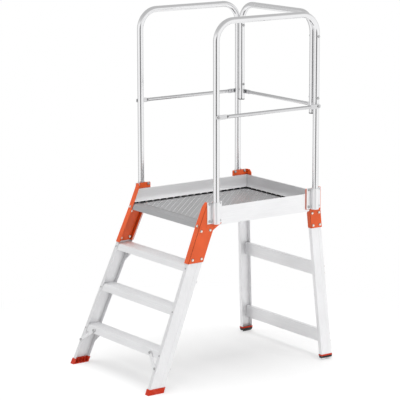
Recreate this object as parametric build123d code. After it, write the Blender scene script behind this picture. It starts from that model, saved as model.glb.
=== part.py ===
"""Aluminium step platform with three treads, a chequer-plate deck and a tubular guard rail.

Sizes are in millimetres. X runs across the steps, Y from the steps to the rear of the deck, Z up.
The origin is on the floor, in the middle of the footprint.
Sloping members have one level section that drifts sideways as it rises, so "level" thicknesses are
measured horizontally. Every handed piece is drawn for the right side (+X) and mirrored to the left.
"""

import os
from math import cos, radians, sin, tan

from build123d import *

# Overall sizes
deck_height = 889.0  # floor to the top of the deck
deck_depth = 819.0  # front plane of the steps at deck level to the rear toe board
deck_width = 672.0  # between the side toe boards
guard_height = 1110.0  # deck to the top of the guard rail
stair_angle = 66.8  # slope of the stringers above the floor, degrees
side_splay = 3.2  # outward lean of stringers and rear legs, degrees
rear_lean = 4.0  # backward lean of the rear legs, degrees

# Channels of the stringers and rear legs
stringer_depth = 87.0  # across the web, square to the slope
leg_depth = 72.0  # across the web, level
channel_flange = 25.5
channel_wall = 3.0
channel_corner = 3.0  # outside radius
band_share = 0.36  # share of the web taken by the shallow band along the outside
band_depth = 0.8

# Treads and deck nosing
tread_count = 3
lowest_tread = 219.0  # floor to the top of the lowest tread
upper_drop = 218.0  # deck top down to the top of the highest tread
tread_lip = 34.0
tread_sheet = 2.6
tread_nose = 8.0  # outside radius of the front edge
tread_heel = 5.0  # outside radius of the rear edge
groove_count = 7
groove_width = 3.0
groove_depth = 1.0
nosing_lip = 28.0
nosing_depth = 46.0
nosing_groove_count = 4

# Braces under the treads
brace_width = 20.0
brace_sheet = 4.0
brace_corner = 5.0  # cut off the corners
front_brace_reach = 89.0  # sideways, between the two bolts
front_brace_drop = 67.0  # downwards, between the two bolts
rear_brace_reach = 72.0
rear_brace_drop = 80.0

# Shoes and feet
shoe_height = 30.0
shoe_wall = 4.0
shoe_sole = 5.0
shoe_rib = 3.0
shoe_pockets = 4
foot_height = 22.0
foot_wall = 2.0
foot_edge_share = 0.3  # slanting edge round the sole, as a share of the foot's width
ring_height = 9.0

# Deck and toe boards
deck_sheet = 3.0
board_height = 100.0
board_below = 21.0  # deck top down to the lower edge of the boards
board_thick = 8.0
board_wall = 2.0
strip_size = 6.0
strip_round = 4.0
member_width = 26.0
member_wall = 2.0
rib_width = 40.0
rib_height = 25.0
rib_count = 3

# Folded brackets
bracket_sheet = 3.5
bracket_above = 111.0  # deck top up to the top of the brackets
bracket_corner = 6.0
front_bracket_drop = 210.0  # deck top down to the lower edge
front_flange = 38.0  # width of the front flange
flange_cut = 14.0  # sloping cut at the top of the front flange
tail_tip = 10.0  # deck top down to the tip of the tail behind the front clamp
tail_root = 45.0  # deck top down to where the tail leaves the channel
rear_bracket_drop = 120.0
rear_plate_lead = 4.0  # rear clamp forward to the front edge of the rear bracket
rear_wing = 44.0
rear_wing_cut = 16.0
joint_wall = 3.0  # wall of the channel inside the stringer end

# Guard rail
tube = 35.0
tube_wall = 2.0
guard_bend = 110.0  # bend radius at the tube axis
bend_steps = 6  # straight lengths in a bend
bore_sides = 10
post_setback = 89.5  # front plane of the steps back to the front posts
post_lead = 44.0  # rear toe board forward to the rear posts
post_drop = 8.0  # deck top down to the lower ends of posts and clamps
rear_frame_end = 537.0  # deck top up to the lower ends of the rear frame
frame_bolt_low = 86.0  # lower end of the rear frame up to its lower bolt
frame_bolt_high = 143.0  # top of the guard rail down to the upper bolt of the rear frame
plug_head = 5.0
plug_length = 18.0
plug_gap = 0.3  # round the part inside the tube
mid_rail = 20.0
mid_rail_height = 578.0  # deck top up to the rail axis
mid_flat = 5.0  # thickness of the flattened ends
mid_flat_height = 28.0
mid_corner = 6.0  # cut off the corners of the flattened ends
mid_end = 15.0  # post axis out to the end of the rail
mid_flat_length = 40.0
mid_taper = 28.0

# Post clamps
clamp_width = 98.0
clamp_height = 120.0
clamp_sheet = 3.0
clamp_gap = 0.3  # round the tube
clamp_bolt_offset = 34.0  # post axis sideways to the bolts
clamp_bolt_levels = (6.0, 103.0)  # above the deck top

# Crossbars between the rear legs
bar_height = 74.0
bar_depth = 23.0
bar_wall = 2.0
bar_levels = (86.0, 480.0)  # floor up to the lower edges
bar_bolt_spread = 40.0

# Fasteners, drawn as their heads and nuts
bolt_flats = 13.0
bolt_head = 5.0
bolt_nut = 6.0
rivet_head = 10.0
rivet_rise = 2.2
rivet_sides = 10
front_bolt_levels = (41.0, 191.0)  # below the deck top
rear_bolt_levels = (34.0, 104.0)
stringer_bolt_inset = 18.0  # web edge to bolt, level
leg_bolt_inset = 12.0
rear_wing_bolts = (5.0, 60.0)  # above the deck top
end_gap = 0.5  # at the ends of treads, bars and boards
touch_gap = 0.4  # between neighbouring round tubes

# Slopes as sideways run for each unit of height
slope_run = 1 / tan(radians(stair_angle))
splay_run = tan(radians(side_splay))
lean_run = tan(radians(rear_lean))

# Level sizes of everything that is square to the slope of the stairs
level = 1 / sin(radians(stair_angle))
stringer_level = stringer_depth * level
wall_level = channel_wall * level
bracket_level = bracket_sheet * level

# Planes across the object
board_inner = deck_width / 2
board_outer = board_inner + board_thick
bracket_outer = board_outer + bracket_sheet
post_x = bracket_outer + tube / 2
frame_x = post_x - tube - touch_gap

# Heights
bend_height = deck_height - board_below
bracket_top = deck_height + bracket_above
stringer_top = deck_height - nosing_lip - 3 * end_gap
leg_top = bend_height - 2 * end_gap
guard_axis = deck_height + guard_height - tube / 2
mid_axis = deck_height + mid_rail_height
tread_rise = (deck_height - upper_drop - lowest_tread) / (tread_count - 1)
tread_tops = [lowest_tread + tread_rise * index for index in range(tread_count)]

# Planes along the object, with the footprint centred on the origin
front_reach = deck_height * slope_run + shoe_wall
rear_reach = board_thick + lean_run * bend_height + foot_wall
deck_front = front_reach - (front_reach + deck_depth + rear_reach) / 2
board_rear = deck_front + deck_depth
rear_face = board_rear + board_thick
front_post_y = deck_front + post_setback
rear_post_y = board_rear - post_lead

# Outward directions of the sloping faces on the right side
side_normal = (1, 0, splay_run)
front_normal = (0, -1, slope_run)
back_normal = (0, 1, -slope_run)
leg_normal = (0, 1, lean_run)


def side_x(height):
    """Outer face of the stringers and rear legs at a height."""
    return board_outer + splay_run * (bend_height - height)


def front_y(height):
    """Front face of the stringers at a height."""
    return deck_front - slope_run * (deck_height - height)


def back_y(height):
    """Rear face of the stringers at a height."""
    return front_y(height) + stringer_level


def leg_back_y(height):
    """Rear face of the rear legs at a height."""
    return rear_face + lean_run * (bend_height - height)


def leg_front_y(height):
    """Front face of the rear legs at a height."""
    return leg_back_y(height) - leg_depth


def face_of(points, rounded=(), radius=0.0):
    """Flat face inside the closed outline, with a radius at the named corners."""
    face = make_face(Polyline(*points, close=True)).face()
    if rounded:
        corners = [face.vertices().sort_by_distance(point)[0] for point in rounded]
        face = face.fillet_2d(radius, corners)
    return face


def sheet(points, offset, rounded=(), radius=0.0):
    """Flat outline thickened along an offset."""
    return Solid.extrude(face_of(points, rounded, radius), Vector(*offset))


def leaning(outline, bottom, top, run_x, run_y, rounded=(), radius=0.0):
    """Level outline at the bottom height, swept up to the top height along a leaning line."""
    rise = top - bottom
    points = [(x, y, bottom) for x, y in outline]
    corners = [(x, y, bottom) for x, y in rounded]
    return sheet(points, (run_x * rise, run_y * rise, rise), corners, radius)


def channel_outline(outer, front, back, flange, wall_x, wall_y, band=0.0):
    """Level outline of a channel open towards the middle, with a shallow band along the outside."""
    inner = outer - flange
    band_start = front + (back - front) * (1 - band_share) / 2
    band_end = back - (back - front) * (1 - band_share) / 2
    points = [(outer, front)]
    if band:
        points += [(outer, band_start), (outer - band, band_start)]
        points += [(outer - band, band_end), (outer, band_end)]
    points += [(outer, back), (inner, back), (inner, back - wall_y), (outer - wall_x, back - wall_y)]
    points += [(outer - wall_x, front + wall_y), (inner, front + wall_y), (inner, front)]
    return points


def box_outline(outer, inner, front, back):
    """Level rectangle between two X and two Y values."""
    return [(outer, front), (outer, back), (inner, back), (inner, front)]


def block(x_range, y_range, z_range):
    """Upright box between pairs of limits."""
    size = [high - low for low, high in (x_range, y_range, z_range)]
    middle = [(high + low) / 2 for low, high in (x_range, y_range, z_range)]
    return Pos(*middle) * Box(*size)


def seat(x, y, z, outward):
    """Plane on a surface, facing outward, for a fastener."""
    return Plane(origin=(x, y, z), z_dir=outward)


def hexagon(place, rise):
    """Head or nut of a bolt, standing on a seat."""
    return extrude(place * RegularPolygon(bolt_flats / 2, 6, major_radius=False), rise).solid()


def bolt_ends(place, grip):
    """Head of a bolt on its seat, and the nut behind the sheets it holds together."""
    return [hexagon(place, bolt_head), hexagon(place.offset(-grip), -bolt_nut)]


def rivet(place):
    """Low head of a blind rivet."""
    return extrude(place * RegularPolygon(rivet_head / 2, rivet_sides), rivet_rise).solid()


def mirrored(shape):
    """Left-hand copy of a right-hand piece."""
    return mirror(shape, about=Plane.YZ)


def both_sides(solids):
    """Group of small like pieces: the right-hand ones and their left-hand copies."""
    return Compound([*solids, *[mirrored(item) for item in solids]])


# Bolts through the webs: bracket, stringer and joint channel at the front, bracket and leg at the rear
def web_seats(levels, inset, front_at, back_at):
    """Seats on the outside of a bracket web, two to each level below the deck."""
    places = []
    for drop in levels:
        height = deck_height - drop
        for y in (front_at(height) + inset, back_at(height) - inset):
            places.append(seat(side_x(height) + bracket_sheet, y, height, side_normal))
    return places


across_web = cos(radians(side_splay))
stringer_grip = (bracket_sheet + channel_wall + joint_wall) * across_web
leg_grip = (bracket_sheet + channel_wall) * across_web
stringer_seats = web_seats(front_bolt_levels, stringer_bolt_inset, front_y, back_y)
leg_seats = web_seats(rear_bolt_levels, leg_bolt_inset, leg_front_y, leg_back_y)

# Bolt through the front flange of the bracket into the lip of the deck nosing
nosing_bolt_height = deck_height - nosing_lip / 2
nosing_seat = seat(
    bracket_outer - front_flange / 2,
    front_y(nosing_bolt_height) - bracket_level,
    nosing_bolt_height,
    front_normal,
)
nosing_grip = bracket_sheet + tread_sheet

# Rivets through the stringer flanges into the tread lips
rivet_seats = []
for top in tread_tops:
    height = top - tread_lip / 2
    x = side_x(height) - channel_flange / 2
    rivet_seats.append(seat(x, front_y(height), height, front_normal))


# Braces: a flat bar from the stringer flange up to the lip of a tread
class Brace:
    """Flat bar on the front or the rear of one stringer, with the heads of its two bolts."""

    def __init__(self, tread_top, reach, drop, face_y, normal):
        upper = tread_top - tread_lip / 2
        lower = upper - drop
        flange_x = side_x(lower) - channel_flange / 2
        start = Vector(flange_x, face_y(lower), lower)
        end = Vector(flange_x - reach, face_y(upper), upper)
        flat = Plane(origin=(start + end) / 2, x_dir=end - start, z_dir=normal)
        outline = Rectangle((end - start).length + brace_width, brace_width)
        outline = chamfer(outline.vertices(), brace_corner)
        self.bar = extrude(flat * outline, brace_sheet)
        outside = flat.z_dir * brace_sheet
        places = [Plane(origin=point + outside, z_dir=normal) for point in (start, end)]
        self.bolts = [hexagon(place, bolt_head) for place in places]
        spacer = hexagon(Plane(origin=end, z_dir=normal), -channel_wall)
        self.bolts.append(spacer)


brace_front = Brace(tread_tops[0], front_brace_reach, front_brace_drop, front_y, front_normal)
brace_rear_lower = Brace(tread_tops[0], rear_brace_reach, rear_brace_drop, back_y, back_normal)
brace_rear_upper = Brace(tread_tops[-1], rear_brace_reach, rear_brace_drop, back_y, back_normal)
braces = [brace_front, brace_rear_lower, brace_rear_upper]


# Stringers and the joint channels inside their upper ends
def stringer():
    """Right stringer: a sloping, splayed channel."""
    outer = side_x(shoe_sole)
    front = front_y(shoe_sole)
    back = back_y(shoe_sole)
    outline = channel_outline(outer, front, back, channel_flange, channel_wall, wall_level, band_depth)
    corners = [(outer, front), (outer, back)]
    return leaning(outline, shoe_sole, stringer_top, -splay_run, slope_run, corners, channel_corner)


def joint_channel():
    """Channel that lines the upper end of the right stringer."""
    bottom = deck_height - front_bracket_drop
    outer = side_x(bottom) - channel_wall
    front = front_y(bottom) + wall_level
    back = back_y(bottom) - wall_level
    flange = channel_flange - channel_wall
    outline = channel_outline(outer, front, back, flange, joint_wall, joint_wall * level)
    return leaning(outline, bottom, stringer_top, -splay_run, slope_run)


# Treads and deck nosing
def lip_outline(top, front, depth, lip, rear_lip):
    """Side outline of a folded tread as (Y, Z) pairs, with lips that follow the slope of the stairs."""
    lip_level = tread_sheet * level
    under = top - tread_sheet
    points = [(front - slope_run * lip, top - lip), (front, top), (front + depth, top)]
    if rear_lip:
        foot = front + depth - slope_run * lip
        corner = front + depth - lip_level - slope_run * tread_sheet
        points += [(foot, top - lip), (foot - lip_level, top - lip), (corner, under)]
    else:
        points += [(front + depth, under)]
    points += [(front + lip_level - slope_run * tread_sheet, under)]
    points += [(front - slope_run * lip + lip_level, top - lip)]
    return points


def folded_tread(top, front, depth, lip, half_length, grooves, rear_lip):
    """Tread or nosing as one extrusion along X, with a rounded nose and grooves on top."""
    points = [(-half_length, y, z) for y, z in lip_outline(top, front, depth, lip, rear_lip)]
    face = face_of(points, [(-half_length, front, top)], tread_nose)
    inner_nose = (-half_length, *lip_outline(top, front, depth, lip, rear_lip)[-2])
    face = face.fillet_2d(tread_nose - tread_sheet, [face.vertices().sort_by_distance(inner_nose)[0]])
    if rear_lip:
        heel = (-half_length, front + depth, top)
        face = face.fillet_2d(tread_heel, [face.vertices().sort_by_distance(heel)[0]])
    profile = Solid.extrude(face, Vector(2 * half_length, 0, 0))
    flat_start = front + tread_nose
    pitch = (depth - tread_nose - tread_heel) / grooves
    cutters = []
    for index in range(grooves):
        y = flat_start + pitch * (index + 0.5)
        groove = ((y - groove_width / 2, y + groove_width / 2), (top - groove_depth, top + groove_depth))
        cutters.append(block((-half_length, half_length), *groove))
    return profile - cutters


def between_webs(bottom, top, wall):
    """Space between the two side planes, less a wall on each side, as a cutter for end trimming."""
    reach = deck_height + deck_depth
    low = side_x(bottom) - wall
    high = side_x(top) - wall
    points = [(low, -reach, bottom), (high, -reach, top), (-high, -reach, top), (-low, -reach, bottom)]
    return sheet(points, (0, 2 * reach, 0))


def tread(top):
    """Tread between the webs of the stringers, its lips against the inside of their flanges."""
    front = front_y(top) + wall_level
    depth = stringer_level - 2 * wall_level
    long_tread = folded_tread(top, front, depth, tread_lip, side_x(0), groove_count, True)
    return long_tread & between_webs(top - 2 * tread_lip, top + tread_lip, channel_wall + end_gap)


def nosing():
    """Grooved front edge of the deck, bolted to the front flanges of the brackets."""
    return folded_tread(
        deck_height, deck_front, nosing_depth, nosing_lip, board_inner, nosing_groove_count, False
    )


# Shoes of the stringers and feet of the rear legs
def shoe(member):
    """Plastic shoe round the foot of the right stringer, with pockets between ribs inside the channel."""
    outer = side_x(0) + shoe_wall
    inner = side_x(0) - channel_flange - shoe_rib
    front = front_y(0) - shoe_wall
    back = back_y(0) + shoe_wall
    outline = box_outline(outer, inner, front, back)
    corners = [outline[0], outline[1]]
    body = leaning(outline, 0, shoe_height, -splay_run, slope_run, corners, shoe_wall)
    pocket_front = front_y(shoe_sole) + wall_level
    pocket_back = back_y(shoe_sole) - wall_level
    pitch = (pocket_back - pocket_front - shoe_rib) / shoe_pockets
    for index in range(shoe_pockets):
        start = pocket_front + shoe_rib + pitch * index
        end = start + pitch - shoe_rib
        pocket = box_outline(side_x(shoe_sole) - channel_wall - shoe_rib, inner - shoe_rib, start, end)
        body = body - leaning(pocket, shoe_sole, shoe_height + shoe_rib, -splay_run, slope_run)
    return body - member


def rear_leg():
    """Right rear leg: a channel open inwards that leans out and back."""
    outer = side_x(shoe_sole)
    front = leg_front_y(shoe_sole)
    back = leg_back_y(shoe_sole)
    outline = channel_outline(outer, front, back, channel_flange, channel_wall, channel_wall, band_depth)
    corners = [(outer, front), (outer, back)]
    return leaning(outline, shoe_sole, leg_top, -splay_run, -lean_run, corners, channel_corner)


def leg_socket():
    """Room for the lower end of the right rear leg, with square corners, as a cutter."""
    front = leg_front_y(shoe_sole)
    back = leg_back_y(shoe_sole)
    outline = channel_outline(side_x(shoe_sole), front, back, channel_flange, channel_wall, channel_wall)
    return leaning(outline, shoe_sole, foot_height + ring_height, -splay_run, -lean_run)


def foot_outline(height, grow):
    """Level rectangle round the right rear leg at a height, grown on all sides."""
    outer = side_x(height) + grow
    inner = side_x(height) - channel_flange - grow
    return box_outline(outer, inner, leg_front_y(height) - grow, leg_back_y(height) + grow)


def foot():
    """Rubber foot under the right rear leg, with slanting edges round its sole."""
    outline = foot_outline(0, foot_wall)
    body = leaning(outline, 0, foot_height, -splay_run, -lean_run)
    foot_edge = foot_edge_share * (channel_flange + 2 * foot_wall)
    body = chamfer(body.edges().group_by(Axis.Z)[0], foot_edge)
    return body - leg_socket()


def foot_ring():
    """Ring that tops the rubber foot and goes round the leg."""
    top = foot_height + ring_height
    body = leaning(foot_outline(foot_height, foot_wall), foot_height, top, -splay_run, -lean_run)
    return body - leaning(foot_outline(foot_height, 0), foot_height, top, -splay_run, -lean_run)


# Crossbars, bolted to the rear flanges of the legs
bar_seats = []
for low in bar_levels:
    for shift in (-bar_bolt_spread / 2, bar_bolt_spread / 2):
        height = low + bar_height / 2 + shift
        x = side_x(height) - channel_flange / 2
        bar_seats.append(seat(x, leg_back_y(height), height, leg_normal))


def bar_outline(low, high, inset):
    """Side outline of a crossbar behind the rear flange of the legs, moved in by an inset."""
    points = []
    for height, depth in ((low, 0), (high, 0), (high, bar_depth), (low, bar_depth)):
        level_height = height + (inset if height == low else -inset)
        setback = channel_wall + (inset if depth == 0 else depth - inset)
        points.append((leg_back_y(level_height) - setback, level_height))
    return points


def crossbar(low):
    """Rectangular tube between the webs of the rear legs."""
    high = low + bar_height
    reach = side_x(0)
    outside = [(-reach, y, z) for y, z in bar_outline(low, high, 0)]
    hollow = [(-reach, y, z) for y, z in bar_outline(low, high, bar_wall)]
    bar = sheet(outside, (2 * reach, 0, 0)) - sheet(hollow, (2 * reach, 0, 0))
    return bar & between_webs(low - bar_wall, high + bar_wall, channel_wall + end_gap)


# Post clamps and the bolts that hold them to the brackets
post_places = [front_post_y, rear_post_y]
clamp_outer = bracket_outer + clamp_sheet
high_clamp_seats = []
low_clamp_seats = []
low_bolt, high_bolt = (deck_height + rise for rise in clamp_bolt_levels)
for post_y in post_places:
    for side in (-clamp_bolt_offset, clamp_bolt_offset):
        low_clamp_seats.append(seat(clamp_outer, post_y + side, low_bolt, (1, 0, 0)))
        high_clamp_seats.append(seat(clamp_outer, post_y + side, high_bolt, (1, 0, 0)))
clamp_grip = clamp_sheet + bracket_sheet


def clamp(post_y):
    """Extruded clamp: two flanges on the bracket and a round hat over the post."""
    bore = tube / 2 + clamp_gap
    hat = bore + clamp_sheet
    axis = Pos(post_x, post_y)
    to_axis = post_x - bracket_outer
    flanges = Pos(bracket_outer + clamp_sheet / 2, post_y) * Rectangle(clamp_sheet, clamp_width)
    neck = Pos(bracket_outer + to_axis / 2, post_y)
    outline = flanges + axis * Circle(hat) + neck * Rectangle(to_axis, 2 * hat)
    outline -= axis * Circle(bore)
    outline -= neck * Rectangle(to_axis, 2 * bore)
    outline -= Pos(bracket_outer - hat, post_y) * Rectangle(2 * hat, 4 * hat)
    return extrude(Pos(0, 0, deck_height - post_drop) * outline, clamp_height)


# Folded brackets
rear_wing_x = bracket_outer - rear_wing / 2
rear_wing_seats = [
    seat(rear_wing_x, rear_face + bracket_sheet, deck_height + rise, (0, 1, 0)) for rise in rear_wing_bolts
]


def front_bracket():
    """Right front bracket: wing on the toe board, bent into a channel round the stringer end."""
    low = deck_height - front_bracket_drop
    root = deck_height - tail_root
    tip = deck_height - tail_tip
    wing_back = front_post_y + clamp_width / 2
    channel_back = back_y(root) + bracket_level
    bend_share = (bend_height - root) / (tip - root)
    tail_at_bend = channel_back + (wing_back - channel_back) * bend_share
    inward = (bracket_sheet, 0, 0)

    wing = [
        (front_y(bend_height) - bracket_level, bend_height),
        (front_y(bracket_top) - bracket_level, bracket_top),
        (wing_back, bracket_top),
        (wing_back, tip),
        (tail_at_bend, bend_height),
    ]
    wing_points = [(board_outer, y, z) for y, z in wing]
    body = sheet(wing_points, inward, [wing_points[2], wing_points[3]], bracket_corner)

    web = [
        (front_y(low) - bracket_level, low),
        (front_y(bend_height) - bracket_level, bend_height),
        (tail_at_bend, bend_height),
        (channel_back, root),
        (back_y(low) + bracket_level, low),
    ]
    body += sheet([(side_x(z), y, z) for y, z in web], inward)

    inner = bracket_outer - front_flange
    flange = [
        (side_x(low) + bracket_sheet, low),
        (bracket_outer, bend_height),
        (bracket_outer, bracket_top),
        (inner + flange_cut, bracket_top),
        (inner, bracket_top - 2 * flange_cut),
        (inner, bend_height),
        (side_x(low) + bracket_sheet - front_flange, low),
    ]
    body += sheet([(x, front_y(z) - bracket_level, z) for x, z in flange], (0, bracket_level, 0))

    heel = [
        (side_x(low) + bracket_sheet, low),
        (side_x(root) + bracket_sheet, root),
        (side_x(root) - channel_flange, root),
        (side_x(low) - channel_flange, low),
    ]
    return body + sheet([(x, back_y(z), z) for x, z in heel], (0, bracket_level, 0))


def rear_bracket():
    """Right rear bracket: wings on the side and rear boards, bent into a channel round the leg."""
    low = deck_height - rear_bracket_drop
    tip = deck_height - tail_tip
    plate_front = rear_post_y - clamp_width / 2 - rear_plate_lead
    outward = (bracket_sheet, 0, 0)
    backward = (0, bracket_sheet, 0)

    plate = [
        (plate_front, tip),
        (plate_front, bracket_top),
        (rear_face + bracket_sheet, bracket_top),
        (rear_face + bracket_sheet, bend_height),
        (leg_front_y(bend_height) - bracket_sheet, bend_height),
        (leg_front_y(bend_height) - bracket_sheet, tip),
    ]
    plate_points = [(board_outer, y, z) for y, z in plate]
    body = sheet(plate_points, outward, [plate_points[0], plate_points[1]], bracket_corner)

    web = [
        (leg_front_y(low) - bracket_sheet, low),
        (leg_front_y(bend_height) - bracket_sheet, bend_height),
        (leg_back_y(bend_height) + bracket_sheet, bend_height),
        (leg_back_y(low) + bracket_sheet, low),
    ]
    body += sheet([(side_x(z), y, z) for y, z in web], outward)

    cut = flange_cut
    flange = [
        (side_x(low) + bracket_sheet, low),
        (bracket_outer, bend_height),
        (side_x(bend_height) - channel_flange + cut, bend_height),
        (side_x(bend_height - cut) - channel_flange, bend_height - cut),
        (side_x(low) - channel_flange, low),
    ]
    body += sheet([(x, leg_front_y(z) - bracket_sheet, z) for x, z in flange], backward)
    body += sheet([(x, leg_back_y(z), z) for x, z in flange], backward)

    wing_inner = bracket_outer - rear_wing
    wing = [
        (bracket_outer, bend_height),
        (bracket_outer, bracket_top),
        (wing_inner + rear_wing_cut, bracket_top),
        (wing_inner, bracket_top - rear_wing_cut),
        (wing_inner, bend_height),
    ]
    return body + sheet([(x, rear_face, z) for x, z in wing], backward)


# Deck, toe boards and edge strips
board_low = bend_height
board_top = board_low + board_height
chamber_heights = [
    (board_low + board_wall, board_low + (board_height - board_wall) / 2),
    (board_low + (board_height + board_wall) / 2, board_top - board_wall),
]


def side_board():
    """Right toe board: a hollow plank, its front end cut to the slope of the bracket flange."""
    outline = [
        (front_y(board_low), board_low),
        (front_y(board_top), board_top),
        (rear_face, board_top),
        (rear_face, board_low),
    ]
    plank = sheet([(board_inner, y, z) for y, z in outline], (board_thick, 0, 0))
    chamber_x = (board_inner + board_wall, board_outer - board_wall)
    for heights in chamber_heights:
        plank = plank - block(chamber_x, (front_y(board_low), rear_face), heights)
    return plank


def rear_board():
    """Rear toe board: a hollow plank between the side boards."""
    half = board_inner
    plank = block((-half, half), (board_rear, rear_face), (board_low, board_top))
    chamber_y = (board_rear + board_wall, rear_face - board_wall)
    for heights in chamber_heights:
        plank = plank - block((-half, half), chamber_y, heights)
    return plank


def strip_profile():
    """Section of an edge strip: a square with its free corner rounded."""
    corner = [(0, 0), (-strip_size, 0), (-strip_size, strip_size), (0, strip_size)]
    return face_of(corner, [corner[2]], strip_round)


def side_strip():
    """Right edge strip, on the deck against the toe board."""
    start = deck_front + tread_nose
    section = Plane(origin=(board_inner, start, deck_height), x_dir=(1, 0, 0), z_dir=(0, -1, 0))
    return extrude(section * strip_profile(), -(board_rear - start))


def rear_strip():
    """Rear edge strip, between the side strips."""
    half = board_inner - strip_size
    section = Plane(origin=(-half, board_rear, deck_height), x_dir=(0, 1, 0), z_dir=(1, 0, 0))
    return extrude(section * strip_profile(), 2 * half)


plate_front = deck_front + nosing_depth
plate_under = deck_height - deck_sheet
member_inner = board_inner - member_width
rib_pitch = (board_rear - plate_front) / rib_count


def deck_plate():
    """Deck plate between the nosing and the toe boards."""
    return block((-board_inner, board_inner), (plate_front, board_rear), (plate_under, deck_height))


def deck_member():
    """Right side member: a flat tube under the edge of the plate."""
    lengths = (plate_front - rib_width / 2, board_rear)
    outside = block((member_inner, board_inner), lengths, (board_low, plate_under))
    hollow_x = (member_inner + member_wall, board_inner - member_wall)
    return outside - block(hollow_x, lengths, (board_low + member_wall, plate_under - member_wall))


def deck_rib(index):
    """Rib under the plate, a tube between the side members."""
    middle = plate_front + rib_pitch * index
    y_range = (middle - rib_width / 2, middle + rib_width / 2)
    z_range = (plate_under - rib_height, plate_under)
    half = member_inner
    outside = block((-half, half), y_range, z_range)
    hollow_y = (y_range[0] + member_wall, y_range[1] - member_wall)
    hollow_z = (z_range[0] + member_wall, z_range[1] - member_wall)
    return outside - block((-half, half), hollow_y, hollow_z)


# Guard rail
mid_offset = tube / 2 + clamp_gap + mid_flat / 2
guard_seats = [
    seat(post_x + mid_offset + mid_flat / 2, post_y, mid_axis, (1, 0, 0)) for post_y in post_places
]
guard_seats.append(seat(frame_x, rear_post_y + mid_offset + mid_flat / 2, mid_axis, (0, 1, 0)))
frame_bolt_levels = (rear_frame_end + frame_bolt_low, guard_height - frame_bolt_high)
frame_seats = [
    seat(post_x + tube / 2, rear_post_y, deck_height + rise, (1, 0, 0)) for rise in frame_bolt_levels
]
frame_grip = 2 * tube + touch_gap


def guard_frame(span, height):
    """Frame bent from one tube, upright over X: legs a span apart, joined by a bar at the height.

    A bend runs in short straight lengths, and the bore has flat sides, which keeps the tube light.
    """
    step = radians(90 / bend_steps)
    corner_radius = guard_bend / cos(step / 2)
    right = [(span / 2, 0)]
    for index in range(bend_steps):
        turn = step * (index + 0.5)
        x = span / 2 - guard_bend + corner_radius * cos(turn)
        z = height - guard_bend + corner_radius * sin(turn)
        right.append((x, z))
    left = [(-x, z) for x, z in reversed(right)]
    path = Polyline(*[(x, 0, z) for x, z in right + left])
    section = Circle(tube / 2) - RegularPolygon(tube / 2 - tube_wall, bore_sides)
    return sweep(Pos(span / 2, 0, 0) * section, path, transition=Transition.RIGHT)


def side_rail():
    """Right guard frame: front post, hand rail and rear post from one tube."""
    low = deck_height - post_drop
    middle = (front_post_y + rear_post_y) / 2
    place = Plane(origin=(post_x, middle, low), x_dir=(0, 1, 0), z_dir=(0, 0, 1))
    return place * guard_frame(rear_post_y - front_post_y, guard_axis - low)


def rear_rail():
    """Rear guard frame, its legs along the inner sides of the rear posts."""
    low = deck_height + rear_frame_end
    return Pos(0, rear_post_y, low) * guard_frame(2 * frame_x, guard_axis - low)


def rail_plug():
    """Plug in the right lower end of the rear frame."""
    end = Plane(origin=(frame_x, rear_post_y, deck_height + rear_frame_end))
    bore = (tube / 2 - tube_wall) * cos(radians(180 / bore_sides))
    plug = extrude(end * Circle(tube / 2), -plug_head)
    return plug + extrude(end * RegularPolygon(bore - plug_gap, bore_sides), plug_length)


def mid_rail_bar(length):
    """Mid rail along Z, centred, with both ends pressed flat across X and wider across Y."""
    half = length / 2
    flat_start = half - mid_flat_length
    taper_start = flat_start - mid_taper
    radius = mid_rail / 2
    beyond = radius + mid_flat / 2
    press = [(mid_flat / 2, half), (mid_flat / 2, flat_start), (beyond, taper_start), (beyond, half)]
    pressed = sheet([(x, -radius, z) for x, z in press], (0, mid_rail, 0))
    wide = mid_flat_height / 2
    ear = [(radius, taper_start), (wide, flat_start), (wide, half - mid_corner), (wide - mid_corner, half)]
    ear += [(-y, z) for y, z in reversed(ear)]
    flat_end = sheet([(-mid_flat / 2, y, z) for y, z in ear], (mid_flat, 0, 0))
    bar = extrude(Circle(radius), half) - pressed - mirrored(pressed) + flat_end
    return bar + mirror(bar, about=Plane.XY)


def side_mid_rail():
    """Right mid rail, on the outside of the posts."""
    length = rear_post_y - front_post_y + 2 * mid_end
    middle = (front_post_y + rear_post_y) / 2
    place = Plane(origin=(post_x + mid_offset, middle, mid_axis), x_dir=(1, 0, 0), z_dir=(0, 1, 0))
    return place * mid_rail_bar(length)


def rear_mid_rail():
    """Rear mid rail, on the rear of the rear frame."""
    length = 2 * frame_x + 2 * mid_end
    place = Plane(origin=(0, rear_post_y + mid_offset, mid_axis), x_dir=(0, 1, 0), z_dir=(1, 0, 0))
    return place * mid_rail_bar(length)


# All pieces by name
nodes = {}


def add_pair(name, piece):
    """Record a right-hand piece and its left-hand copy."""
    nodes[name + "_right"] = piece
    nodes[name + "_left"] = mirrored(piece)


right_stringer = stringer()
add_pair("stringer", right_stringer)
add_pair("front_shoe", shoe(right_stringer))
add_pair("joint_channel", joint_channel())
add_pair("front_bracket", front_bracket())
add_pair("rear_bracket", rear_bracket())
add_pair("rear_leg", rear_leg())
add_pair("rear_foot", foot())
add_pair("foot_ring", foot_ring())
add_pair("brace_front", brace_front.bar)
add_pair("brace_rear_lower", brace_rear_lower.bar)
add_pair("brace_rear_upper", brace_rear_upper.bar)
add_pair("toe_board", side_board())
add_pair("edge_strip", side_strip())
add_pair("deck_member", deck_member())
add_pair("side_rail", side_rail())
add_pair("mid_rail", side_mid_rail())
add_pair("clamp_front", clamp(front_post_y))
add_pair("clamp_rear", clamp(rear_post_y))

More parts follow.
